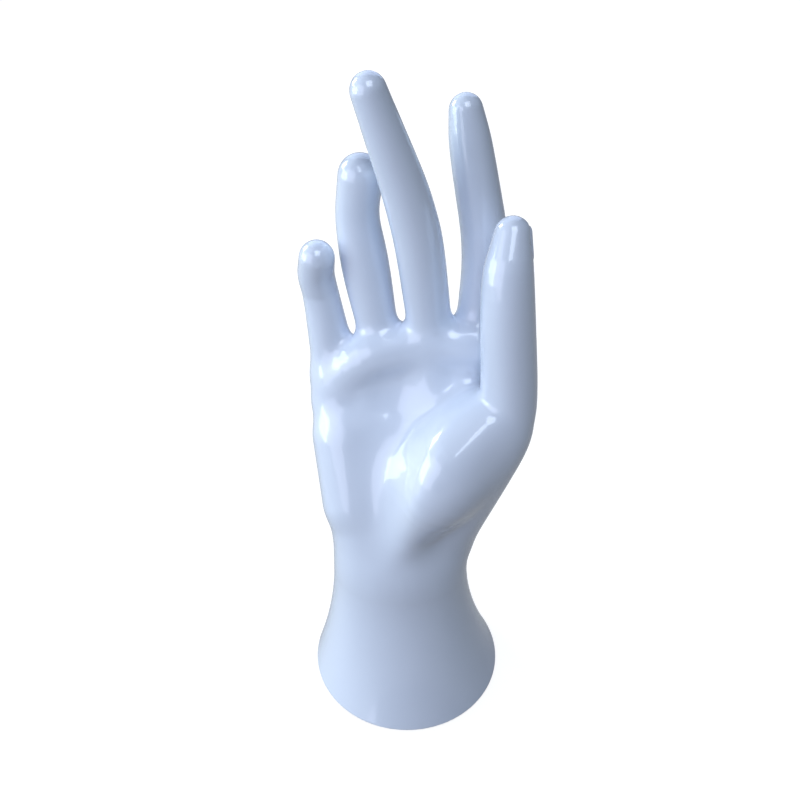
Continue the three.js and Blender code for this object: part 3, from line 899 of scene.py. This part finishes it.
class Graph:
    """The nodes of one material or world."""

    def __init__(self, owner):
        owner.use_nodes = True
        self.tree = owner.node_tree

    def plug(self, socket, value):
        if isinstance(value, Wire):
            self.tree.links.new(value.socket, socket)
        elif isinstance(value, tuple) and len(value) == 3 and len(socket.default_value) == 4:
            socket.default_value = (*value, 1)
        else:
            socket.default_value = value

    def add(self, kind, settings=None, inputs=None, output=0):
        node = self.tree.nodes.new(kind)
        for key, value in (settings or {}).items():
            if key == "stops":
                for stop, (place, shade) in zip(node.color_ramp.elements, value):
                    stop.position = place
                    stop.color = (*shade, 1)
            else:
                setattr(node, key, value)
        for key, value in (inputs or {}).items():
            self.plug(node.inputs[key], value)
        return Wire(self, node.outputs[output])

    def place(self):
        """Where a point lies on the piece, in metres."""
        return self.add("ShaderNodeTexCoord", output="Object")

    def noise(self, place, size, detail=2.0, roughness=0.5):
        """Soft random spots about a size apart."""
        values = {"Vector": place, "Scale": 1 / size, "Detail": detail, "Roughness": roughness}
        return self.add("ShaderNodeTexNoise", {"noise_dimensions": "3D"}, values, "Fac")

    def cells(self, place, size):
        """How far a point lies from the middle of the nearest random cell."""
        values = {"Vector": place, "Scale": 1 / size}
        return self.add("ShaderNodeTexVoronoi", {"feature": "F1"}, values, "Distance")

    def tint(self, share, low, high):
        """Runs from one colour to another."""
        mix = self.tree.nodes.new("ShaderNodeMix")
        mix.data_type = "RGBA"
        self.plug(mix.inputs["Factor"], share)
        for socket, shade in zip([s for s in mix.inputs if s.type == "RGBA"], (low, high)):
            self.plug(socket, tuple(shade))
        return Wire(self, [s for s in mix.outputs if s.type == "RGBA"][0])

    def shown(self, seen, mirrored):
        """One strength for what the camera sees, and another for what shiny or clear surfaces show."""
        rays = [self.add("ShaderNodeLightPath", output=f"Is {kind} Ray") for kind in RAY_KINDS]
        return rays[0] * seen + (rays[1] + rays[2]) * mirrored

    def bump(self, height, depth, strength=1.0):
        values = {"Height": height, "Distance": depth, "Strength": strength}
        return self.add("ShaderNodeBump", {}, values, "Normal")


def new_material(name):
    """A new material and its graph."""
    material = bpy.data.materials.new(name)
    graph = Graph(material)
    return material, graph


def set_shader(graph, **sockets):
    """Fills the shader's sockets; plain numbers and colours go straight on them."""
    shader = graph.tree.nodes["Principled BSDF"]
    for name, value in sockets.items():
        graph.plug(shader.inputs[name.replace("_", " ").title().replace("Ior", "IOR")], value)


def shade(colour_value, factor):
    return tuple(min(1.0, part * factor) for part in colour_value)


def lacquer(colours):
    """Sprayed gloss lacquer: a clear wet coat that lies a little uneven."""
    material, graph = new_material("gloss_lacquer")
    place = graph.place()
    cloud = graph.noise(place, 26 * MM, 2.0)
    swell = graph.noise(place, 7.5 * MM, 1.0, 0.4)
    peel = graph.noise(place, 2.2 * MM, 1.0, 0.4)
    base = tuple(colours.lacquer)
    set_shader(
        graph,
        base_color=graph.tint(cloud, shade(base, 0.985), shade(base, 1.015)),
        roughness=0.22 + cloud * 0.06,
        normal=graph.bump(swell + peel * 0.12, 0.055 * MM),
        coat_weight=1.0,
        coat_roughness=0.035,
    )
    return material


def moulded_plastic(colours):
    """Matt injection-moulded plastic with a fine eroded grain and a few rub marks."""
    material, graph = new_material("moulded_plastic")
    place = graph.place()
    grain = graph.noise(place, 0.35 * MM, 3.0, 0.6)
    cloud = graph.noise(place, 9 * MM, 2.0)
    base = tuple(colours.plate)
    set_shader(
        graph,
        base_color=graph.tint(cloud, shade(base, 0.95), shade(base, 1.04)),
        roughness=0.45 + grain * 0.15,
        normal=graph.bump(grain, 0.03 * MM),
    )
    return material


def cast_iron(colours):
    """Sand-cast iron with a rough skin and a little rust in the pits."""
    material, graph = new_material("cast_iron")
    place = graph.place()
    sand = graph.noise(place, 0.6 * MM, 4.0, 0.65)
    pits = graph.cells(place, 1.6 * MM)
    cloud = graph.noise(place, 6 * MM, 3.0)
    base = tuple(colours.iron)
    set_shader(
        graph,
        base_color=graph.tint(cloud, base, (0.13, 0.085, 0.06)),
        metallic=0.75 - cloud * 0.4,
        roughness=0.5 + sand * 0.3,
        normal=graph.bump(sand + pits * 0.5, 0.15 * MM),
    )
    return material


def zinc_plate(colours):
    """Bright zinc plating with faint turning marks and cloudy blue passivation."""
    material, graph = new_material("zinc_plate")
    place = graph.place()
    cloud = graph.noise(place, 1.4 * MM, 2.0)
    marks = graph.noise(place, 0.25 * MM, 2.0)
    base = tuple(colours.steel)
    set_shader(
        graph,
        base_color=graph.tint(cloud, shade(base, 0.85), shade(base, 1.2)),
        metallic=1.0,
        roughness=0.24 + cloud * 0.14,
        normal=graph.bump(marks, 0.01 * MM),
    )
    return material


def foam(colours):
    """Closed-cell foam with fine open cells on its cut skin."""
    material, graph = new_material("foam")
    place = graph.place()
    cells = graph.cells(place, 0.45 * MM)
    cloud = graph.noise(place, 7 * MM, 2.0)
    base = tuple(colours.foam)
    set_shader(
        graph,
        base_color=graph.tint(cloud + cells * 0.4, shade(base, 0.9), shade(base, 1.03)),
        roughness=0.85 + cloud * 0.1,
        normal=graph.bump(cells, 0.08 * MM),
    )
    return material


def dress(piece, material, slot, *nodes):
    """Gives a finished piece its material, hides the imported parts it takes the place of and hangs it
    on the root body.
    """
    piece.data.materials.clear()
    piece.data.materials.append(material)
    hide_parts(*nodes)
    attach(piece, "root")


# Operators


class STAND_OT_camera(bpy.types.Operator):
    """Add the camera where the photograph was taken from"""

    bl_idname = "stand.camera"
    bl_label = "Camera"

    def execute(self, context):
        deselect()
        place = Vector(CAMERA_PLACE) * MM
        turn = (math.radians(90 - CAMERA_TILT), 0, 0)
        bpy.ops.object.camera_add(location=place, rotation=turn)
        camera = context.object
        camera.name = camera.data.name = "camera"
        camera.data.lens = CAMERA_LENS
        camera.data.clip_start = 0.01
        context.scene.camera = camera
        return {"FINISHED"}


class STAND_OT_stage(bpy.types.Operator):
    """Add the floor, the world and the lamps"""

    bl_idname = "stand.stage"
    bl_label = "Stage"

    def add_floor(self):
        deselect()
        bpy.ops.mesh.primitive_plane_add(size=FLOOR_SIZE)
        floor = bpy.context.object
        floor.name = floor.data.name = "floor"
        material, graph = new_material("pale_floor")
        away = graph.add("ShaderNodeVectorMath", {"operation": "LENGTH"}, {0: graph.place()}, "Value")
        ends = {
            "Value": away,
            "From Min": FLOOR_NEAR,
            "From Max": FLOOR_FAR,
            "To Min": FLOOR_SEEN,
            "To Max": FAR_FLOOR_SEEN,
        }
        seen = graph.add("ShaderNodeMapRange", {"interpolation_type": "SMOOTHSTEP"}, ends, "Result")
        set_shader(
            graph,
            base_color=FLOOR_COLOUR,
            roughness=0.8,
            specular_ior_level=0.0,
            emission_color=graph.shown(seen, FLOOR_MIRRORED),
            emission_strength=1.0,
        )
        floor.data.materials.append(material)

    def add_world(self, scene):
        world = bpy.data.worlds.new("studio")
        scene.world = world
        graph = Graph(world)
        background = graph.tree.nodes["Background"]
        graph.plug(background.inputs["Color"], graph.shown(SKY_SEEN, SKY_MIRRORED) + SKY_LIGHT)
        graph.plug(background.inputs["Strength"], 1.0)

    def execute(self, context):
        self.add_floor()
        self.add_world(context.scene)
        for name, place, size, power, tint in LAMPS:
            deselect()
            bpy.ops.object.light_add(type="AREA", location=place)
            lamp = context.object
            lamp.name = lamp.data.name = name
            lamp.rotation_euler = (Vector(LAMPS_AIM) - Vector(place)).to_track_quat("-Z", "Y").to_euler()
            lamp.data.shape = "SQUARE"
            lamp.data.size = size
            lamp.data.energy = power
            lamp.data.color = tint
        context.scene.view_settings.view_transform = "Standard"
        return {"FINISHED"}


class STAND_OT_hand(bpy.types.Operator):
    """Model the two halves of the hand and lacquer them"""

    bl_idname = "stand.hand"
    bl_label = "Hand"

    def execute(self, context):
        sizes = context.scene.stand_sizes
        form = HandForm(sizes.rim_round / MM)
        middles = seam_middles(form)
        shell = hand_solid(form, sizes)
        material = lacquer(context.scene.stand_colours)
        for name, node, front in (("palm_side", "palm_half", True), ("back_side", "back_half", False)):
            half = half_of(shell, middles, name, front)
            set_skin_normals(half, form)
            dress(half, material, "hand_shell", node)
        remove(shell)
        return {"FINISHED"}


class STAND_OT_base_plate(bpy.types.Operator):
    """Model the moulded plate that closes the foot, with the cup for the weight"""

    bl_idname = "stand.base_plate"
    bl_label = "Base plate"

    def execute(self, context):
        sizes = context.scene.stand_sizes
        plate = disc(PLATE_RADIUS, PLATE_BOTTOM, PLATE_TOP, name="closing_plate")
        edit_faces(plate, is_top)
        bpy.ops.mesh.inset(thickness=(PLATE_RADIUS - CUP_RADIUS) * MM)
        bpy.ops.mesh.inset(thickness=CUP_WALL * MM)
        end_edit()

        def on_cup(face):
            reach = math.hypot(face.center.x, face.center.y) / MM
            return is_top(face) and CUP_RADIUS - 1.5 * CUP_WALL < reach < CUP_RADIUS

        edit_faces(plate, on_cup)
        bpy.ops.mesh.extrude_region_move(TRANSFORM_OT_translate={"value": (0, 0, CUP_HEIGHT * MM)})
        end_edit()
        for turn in range(RIB_COUNT):
            angle = math.tau * (turn + 0.5) / RIB_COUNT - math.pi / 2
            rib = block(
                (CUP_RADIUS - CUP_WALL / 2, -RIB_WIDTH / 2, PLATE_TOP - RIB_SINK),
                (BORE_RADIUS - RIB_INSET, RIB_WIDTH / 2, PLATE_TOP + RIB_HEIGHT),
                name="rib",
            )
            rib.rotation_euler.z = angle
            set_in_place(rib)
            combine(plate, rib, "UNION")
        for place in screw_places():
            pilot = disc(PILOT_RADIUS, 0, PLATE_TOP + CUT_PAST, place, SMALL_SIDES)
            combine(plate, pilot, "DIFFERENCE")
            seat_radius = SCREW_HEAD_RADIUS + CLEARANCE
            seat = disc(seat_radius, 0, SCREW_HEAD_TOP + CLEARANCE, place, SMALL_SIDES)
            combine(plate, seat, "DIFFERENCE")
        apply_modifier(
            plate,
            "BEVEL",
            width=sizes.edge_round,
            segments=2,
            limit_method="ANGLE",
            angle_limit=math.radians(50),
            use_clamp_overlap=True,
        )
        smooth(plate)
        dress(plate, moulded_plastic(context.scene.stand_colours), "base_plate", "base_plate")
        return {"FINISHED"}


class STAND_OT_weight(bpy.types.Operator):
    """Model the cast-iron disc in the cup"""

    bl_idname = "stand.weight"
    bl_label = "Weight"

    def execute(self, context):
        sizes = context.scene.stand_sizes
        low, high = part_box("weight_disc")
        radius = (high.x - low.x) / 2 / MM
        weight = disc(radius, low.z / MM, high.z / MM, sides=WEIGHT_SIDES, name="cast_weight")
        edit_faces(weight, is_top)
        bpy.ops.mesh.inset(thickness=WEIGHT_RIM * MM)
        bpy.ops.mesh.extrude_region_move(TRANSFORM_OT_translate={"value": (0, 0, -WEIGHT_DISH * MM)})
        shrink = (radius - WEIGHT_RIM - WEIGHT_DISH) / (radius - WEIGHT_RIM)
        bpy.ops.transform.resize(value=(shrink, shrink, 1), center_override=(0, 0, 0))
        end_edit()
        apply_modifier(
            weight,
            "BEVEL",
            width=sizes.weight_chamfer,
            segments=3,
            limit_method="ANGLE",
            angle_limit=math.radians(40),
        )
        smooth(weight)
        dress(weight, cast_iron(context.scene.stand_colours), "weight", "weight_disc")
        return {"FINISHED"}


class STAND_OT_screws(bpy.types.Operator):
    """Model the three self-tapping screws that hold the plate"""

    bl_idname = "stand.screws"
    bl_label = "Screws"

    def model_screw(self, pitch):
        """One screw standing on the middle of the foot, with its pitch in metres."""
        head = disc(SCREW_HEAD_RADIUS, PLATE_BOTTOM, SCREW_HEAD_TOP, sides=SMALL_SIDES, name="screw")
        edit_edges(head, lambda p: p[:, 2] < PLATE_BOTTOM + AT_HEIGHT)
        bpy.ops.mesh.bevel(offset=SCREW_HEAD_ROUND * MM, segments=4)
        end_edit()
        core_radius = SCREW_RADIUS - THREAD_DEPTH
        core_bottom = SCREW_HEAD_TOP - SCREW_CORE_SINK
        core = disc(core_radius, core_bottom, SCREW_TOP, sides=CORE_SIDES, name="core")
        edit_faces(core, is_top)
        bpy.ops.transform.resize(value=(SCREW_POINT_SHARE, SCREW_POINT_SHARE, 1))
        end_edit()
        combine(head, core, "UNION")
        reach = SCREW_HEAD_RADIUS * SLOT_SHARE
        half = SLOT_WIDTH / 2
        for x, y in ((reach, half), (half, reach)):
            slot = block((-x, -y, 0), (x, y, PLATE_BOTTOM + SLOT_DEPTH))
            combine(head, slot, "DIFFERENCE")
        low = SCREW_HEAD_TOP + pitch / MM / 2
        turns = math.floor((SCREW_TOP - THREAD_END - low) / (pitch / MM))
        deselect()
        bpy.ops.mesh.primitive_circle_add(vertices=3, radius=THREAD_DEPTH * MM)
        thread = bpy.context.object
        thread.name = thread.data.name = "thread"
        root = core_radius - THREAD_SINK
        section = [(root, 0, -THREAD_HALF_WIDTH), (SCREW_RADIUS, 0, 0), (root, 0, THREAD_HALF_WIDTH)]
        set_corners(thread, np.array(section) + (0, 0, low))
        apply_modifier(
            thread,
            "SCREW",
            axis="Z",
            angle=math.tau,
            screw_offset=pitch,
            iterations=turns,
            steps=THREAD_STEPS,
            render_steps=THREAD_STEPS,
            use_merge_vertices=True,
            merge_threshold=MERGE_DISTANCE,
            use_normal_calculate=True,
        )
        edit(thread)
        bpy.ops.mesh.fill_holes(sides=3)
        end_edit()
        outward(thread)
        return join([head, thread], "screw")

    def execute(self, context):
        material = zinc_plate(context.scene.stand_colours)
        pattern = self.model_screw(context.scene.stand_sizes.thread_pitch)
        smooth(pattern)
        for number, (x, y) in enumerate(screw_places(), start=1):
            screw = copy_of(pattern, f"closing_screw_{number}")
            screw.location = (x * MM, y * MM, 0)
            set_in_place(screw)
            dress(screw, material, "screws", f"base_screw_{number}")
        remove(pattern)
        return {"FINISHED"}


class STAND_OT_foot_pad(bpy.types.Operator):
    """Model the foam disc under the foot"""

    bl_idname = "stand.foot_pad"
    bl_label = "Foot pad"

    def execute(self, context):
        low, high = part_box("foot_pad")
        radius = (high.x - low.x) / 2 / MM
        pad = disc(radius, low.z / MM, high.z / MM, name="foam_pad")
        edit_edges(pad, lambda p: p[:, 2] < AT_HEIGHT)
        bpy.ops.mesh.bevel(offset=context.scene.stand_sizes.pad_round, segments=3)
        end_edit()
        edit_faces(pad, is_top)
        bpy.ops.mesh.inset(thickness=GLUE_INSET * MM)
        glue = PLATE_BOTTOM - high.z / MM
        bpy.ops.mesh.extrude_region_move(TRANSFORM_OT_translate={"value": (0, 0, glue * MM)})
        end_edit()
        smooth(pad)
        dress(pad, foam(context.scene.stand_colours), "foot_pad", "foot_pad")
        return {"FINISHED"}


class STAND_PT_panel(bpy.types.Panel):
    """The stand's settings and the buttons that model each piece"""

    bl_idname = "STAND_PT_panel"
    bl_label = "Hand Stand"
    bl_space_type = "VIEW_3D"
    bl_region_type = "UI"
    bl_category = "Hand Stand"

    def draw(self, context):
        for group in (context.scene.stand_sizes, context.scene.stand_colours):
            column = self.layout.column()
            for name in group.__annotations__:
                column.prop(group, name)
        column = self.layout.column()
        for operator in OPERATORS:
            column.operator(operator.bl_idname)


OPERATORS = (
    STAND_OT_camera,
    STAND_OT_stage,
    STAND_OT_hand,
    STAND_OT_base_plate,
    STAND_OT_weight,
    STAND_OT_screws,
    STAND_OT_foot_pad,
)
CLASSES = (StandSizes, StandColours, *OPERATORS, STAND_PT_panel)


def register():
    for cls in CLASSES:
        bpy.utils.register_class(cls)
    bpy.types.Scene.stand_sizes = PointerProperty(type=StandSizes)
    bpy.types.Scene.stand_colours = PointerProperty(type=StandColours)


def unregister():
    del bpy.types.Scene.stand_sizes
    del bpy.types.Scene.stand_colours
    for cls in reversed(CLASSES):
        bpy.utils.unregister_class(cls)


def main():
    register()
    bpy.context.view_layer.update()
    bpy.ops.stand.camera()
    bpy.ops.stand.stage()
    bpy.ops.stand.hand()
    bpy.ops.stand.base_plate()
    bpy.ops.stand.weight()
    bpy.ops.stand.screws()
    bpy.ops.stand.foot_pad()


if __name__ == "__main__":
    main()
